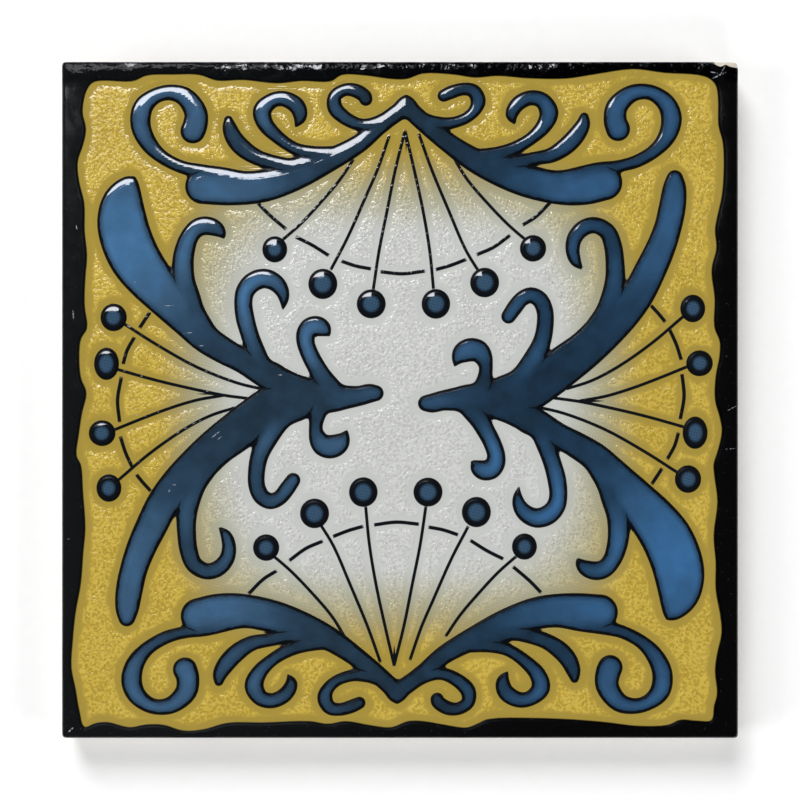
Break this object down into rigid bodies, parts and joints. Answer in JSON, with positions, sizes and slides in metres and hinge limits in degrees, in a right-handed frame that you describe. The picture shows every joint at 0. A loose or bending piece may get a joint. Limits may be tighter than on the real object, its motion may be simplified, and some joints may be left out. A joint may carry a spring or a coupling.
{
  "type": "ornamental tile",
  "caption": "Square glazed relief wall tile: dark wavy border, mirrored blue scroll leaves and beaded stamen fans raised over a pebbled yellow to white ground, keyed flat back.",
  "frame": {"origin": "centre of the tile's flat back, on the floor it lies on", "axes": "+Z out of the decorated face, +Y towards the edge that is at the top of the picture, +X towards its right edge"},
  "size_m": [0.1, 0.1, 0.007],
  "materials": {
    "tile": "clear gloss glaze over printed and pressed decoration on the face and the rounded top arris, matt unglazed biscuit on the lower sides and the back"
  },
  "bodies": {
    "root": {"tile": "tile"}
  },
  "joints": []
}
